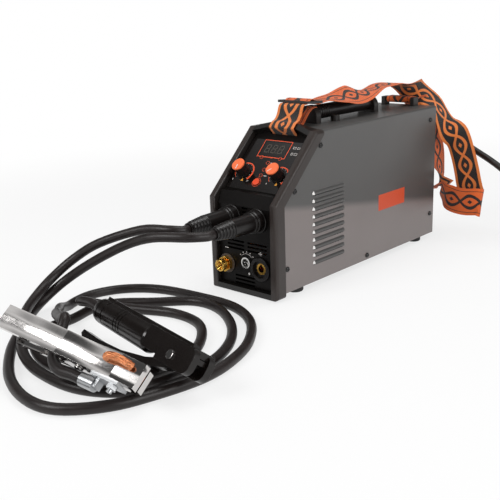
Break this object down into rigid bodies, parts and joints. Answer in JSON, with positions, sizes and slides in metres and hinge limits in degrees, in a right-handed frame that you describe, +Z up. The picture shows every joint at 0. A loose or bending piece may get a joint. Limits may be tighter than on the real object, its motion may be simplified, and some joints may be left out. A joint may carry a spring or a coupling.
{
  "type": "inverter welding machine",
  "caption": "Portable inverter welding machine with sloped control panel, carrying handle and shoulder strap, earth clamp, electrode holder, leads and mains cord",
  "frame": {"origin": "on the floor plane under the middle of the case", "axes": "X to the machine's right as seen from its front, Y from the front to the rear, Z up"},
  "size_m": [0.5859, 0.887, 0.2501],
  "materials": {
    "cover_grey": "satin powder coat",
    "pan_metal": "zinc-grey sheet",
    "bezel_plastic": "soft-sheen charcoal moulding",
    "panel_plastic": "matt black",
    "overlay_gloss": "glossy black film",
    "window_tint": "dark tinted window",
    "board_green": "circuit board",
    "zinc": "zinc plated",
    "knob_black": "fluted black",
    "cap_orange": "orange cap",
    "button_orange": "orange-red button",
    "lens_white": "clear lens",
    "socket_black": "black moulding",
    "brass": "turned brass",
    "washer_brown": "brown washer",
    "chrome": "bright plating",
    "rear_black": "satin black",
    "fan_black": "black moulding",
    "switch_black": "black moulding",
    "rocker_red": "red rocker",
    "hose_black": "black hose",
    "rubber_black": "black rubber",
    "screw_black": "black oxide",
    "webbing": "black and orange webbing",
    "aluminium": "extruded fins",
    "board_orange": "copper winding",
    "cord_black": "black cable sheath",
    "clamp_plate": "bright zinc plate",
    "spring_steel": "spring wire",
    "copper": "copper",
    "holder_black": "black moulding"
  },
  "bodies": {
    "machine": {"cover": "cover_grey", "base_pan": "pan_metal", "front_bezel": "bezel_plastic", "front_panel": "panel_plastic", "control_overlay": "overlay_gloss", "display_window": "window_tint", "control_board": "board_green", "potentiometers": "zinc", "indicator_lights": "lens_white", "weld_sockets": "socket_black", "weld_socket_inserts": "brass", "gas_outlet": "brass", "gas_outlet_washer": "washer_brown", "torch_control_socket": "chrome", "rear_panel": "rear_black", "fan_frame": "fan_black", "fan_guard": "chrome", "power_switch": "switch_black", "gas_valve": "brass", "gas_hose": "hose_black", "mains_gland": "socket_black", "feet": "rubber_black", "cover_screws": "screw_black", "handle_grip": "rubber_black", "handle_caps": "socket_black", "strap": "webbing", "strap_slider": "socket_black", "strap_bracket": "screw_black", "power_board": "board_green", "heat_sinks": "aluminium", "transformer": "fan_black", "output_choke": "board_orange", "electrode_lead": "cord_black", "earth_lead": "cord_black", "mains_cord": "cord_black", "mains_coil": "cord_black", "mains_plug": "socket_black", "clamp_lower_jaw": "clamp_plate", "clamp_pin": "zinc", "clamp_spring": "spring_steel", "clamp_lower_contact": "copper", "clamp_lug": "clamp_plate", "holder_handle": "holder_black", "holder_head": "holder_black", "holder_pin": "zinc", "holder_spring": "spring_steel"},
    "knob_left_body": {"knob_left": "knob_black", "knob_left_cap": "cap_orange"},
    "knob_right_body": {"knob_right": "knob_black", "knob_right_cap": "cap_orange"},
    "button": {"mode_button": "button_orange"},
    "rocker": {"power_rocker": "rocker_red"},
    "fan": {"fan_rotor": "fan_black"},
    "left_plug": {"plug_left": "socket_black"},
    "right_plug": {"plug_right": "socket_black"},
    "clamp_upper": {"clamp_upper_jaw": "clamp_plate", "clamp_upper_contact": "copper", "clamp_braid": "copper"},
    "lever": {"holder_lever": "holder_black"}
  },
  "joints": [
    {"name": "left_knob_turn", "type": "hinge", "parent": "machine", "child": "knob_left_body", "pos_m": [-0.029, -0.16561, 0.15736], "axis": [0, -0.694, 0.72], "range_deg": [-280, 0]},
    {"name": "right_knob_turn", "type": "hinge", "parent": "machine", "child": "knob_right_body", "pos_m": [0.029, -0.16561, 0.15736], "axis": [0, -0.694, 0.72], "range_deg": [-280, 0]},
    {"name": "mode_button_press", "type": "slide", "parent": "machine", "child": "button", "axis": [0, 0.694, -0.72], "range_m": [0, 0.001], "stiffness_N_per_m": 400, "springref_m": -0.002},
    {"name": "power_switch_rock", "type": "hinge", "parent": "machine", "child": "rocker", "pos_m": [-0.028, 0.182, 0.18], "axis": [1, 0, 0], "range_deg": [0, 20]},
    {"name": "fan_spin", "type": "hinge", "parent": "machine", "child": "fan", "pos_m": [0, 0.166, 0.063], "axis": [0, 1, 0], "continuous": true},
    {"name": "left_plug_lock", "type": "hinge", "parent": "machine", "child": "left_plug", "pos_m": [-0.022, -0.23, 0.1023], "axis": [0, -1, 0], "range_deg": [0, 90]},
    {"name": "right_plug_lock", "type": "hinge", "parent": "machine", "child": "right_plug", "pos_m": [0.022, -0.23, 0.1023], "axis": [0, -1, 0], "range_deg": [0, 90]},
    {"name": "earth_clamp_open", "type": "hinge", "parent": "machine", "child": "clamp_upper", "pos_m": [0.072, -0.51, 0.039], "axis": [-0.029, 0.7904, 0.6119], "range_deg": [-13, 0], "stiffness_Nm_per_rad": 4, "springref_deg": 28.65},
    {"name": "holder_lever_squeeze", "type": "hinge", "parent": "machine", "child": "lever", "pos_m": [0.14286, -0.45057, 0.03414], "axis": [0.1638, 0.7708, -0.6157], "range_deg": [0, 4.5], "stiffness_Nm_per_rad": 6, "springref_deg": -17.19}
  ]
}
